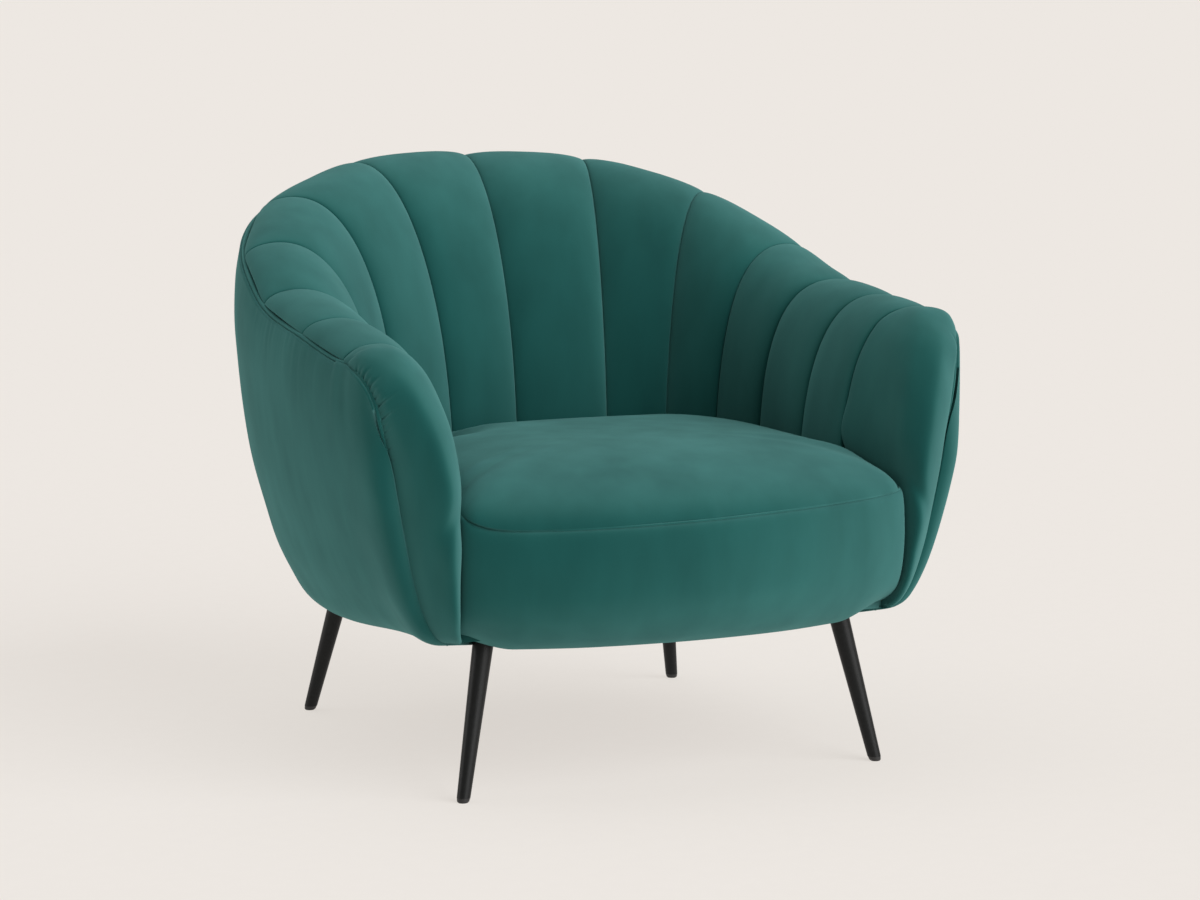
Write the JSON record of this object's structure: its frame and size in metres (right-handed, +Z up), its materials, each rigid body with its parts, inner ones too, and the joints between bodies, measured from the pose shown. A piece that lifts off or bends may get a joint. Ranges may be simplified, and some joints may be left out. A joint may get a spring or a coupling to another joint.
{
  "type": "armchair",
  "caption": "Tub lounge chair with a scalloped channel-tufted back, piped edge, crowned seat and splayed round black legs",
  "frame": {"origin": "bottom centre of the whole chair's box, on the floor", "axes": "+X to the sitter's left hand, +Y from the front of the seat to the back, +Z up"},
  "size_m": [0.887, 0.887, 0.7697],
  "materials": {
    "velvet": "teal cut-pile velvet with a visible nap",
    "velvet_cord": "teal velvet wrapped over cord",
    "frame_wood": "unfinished pine and plywood",
    "lining_cloth": "undyed backing cloth",
    "spring_steel": "drawn spring wire",
    "clip_steel": "stamped sheet steel",
    "felt": "needled felt",
    "foam": "seat foam",
    "dust_cloth": "black non-woven cloth",
    "leg_black": "satin black powder coat",
    "glide_nylon": "black nylon",
    "plate_steel": "black painted plate",
    "fastener_steel": "zinc plated steel"
  },
  "bodies": {
    "root": {"channel_right_1": "velvet", "channel_left_1": "velvet", "channel_right_2": "velvet", "channel_left_2": "velvet", "channel_right_3": "velvet", "channel_left_3": "velvet", "channel_right_4": "velvet", "channel_left_4": "velvet", "channel_right_5": "velvet", "channel_left_5": "velvet", "channel_right_6": "velvet", "channel_left_6": "velvet", "arm_front_right": "velvet", "arm_front_left": "velvet", "outside_cover_right": "velvet", "outside_cover_left": "velvet", "edge_cord_right": "velvet_cord", "edge_cord_left": "velvet_cord", "side_rail_right": "frame_wood", "side_rail_left": "frame_wood", "arm_post_right": "frame_wood", "arm_post_left": "frame_wood", "top_rail_right": "frame_wood", "top_rail_left": "frame_wood", "back_lining_right": "lining_cloth", "back_lining_left": "lining_cloth", "centre_rib": "frame_wood", "ribs_right": "frame_wood", "ribs_left": "frame_wood", "seat_cushion": "velvet", "seat_front_band": "velvet", "seat_seam_cord": "velvet_cord", "base_board": "frame_wood", "base_ring": "frame_wood", "front_rail": "frame_wood", "rear_rail": "frame_wood", "centre_stretcher": "frame_wood", "corner_blocks": "frame_wood", "seat_springs": "spring_steel", "spring_clips": "clip_steel", "spring_felt": "felt", "seat_foam": "foam", "dust_cover": "dust_cloth", "leg_front_left": "leg_black", "leg_rear_left": "leg_black", "leg_front_right": "leg_black", "leg_rear_right": "leg_black", "foot_glides": "glide_nylon", "leg_plates": "plate_steel", "hanger_bolts": "fastener_steel", "plate_screws": "fastener_steel"}
  },
  "joints": []
}
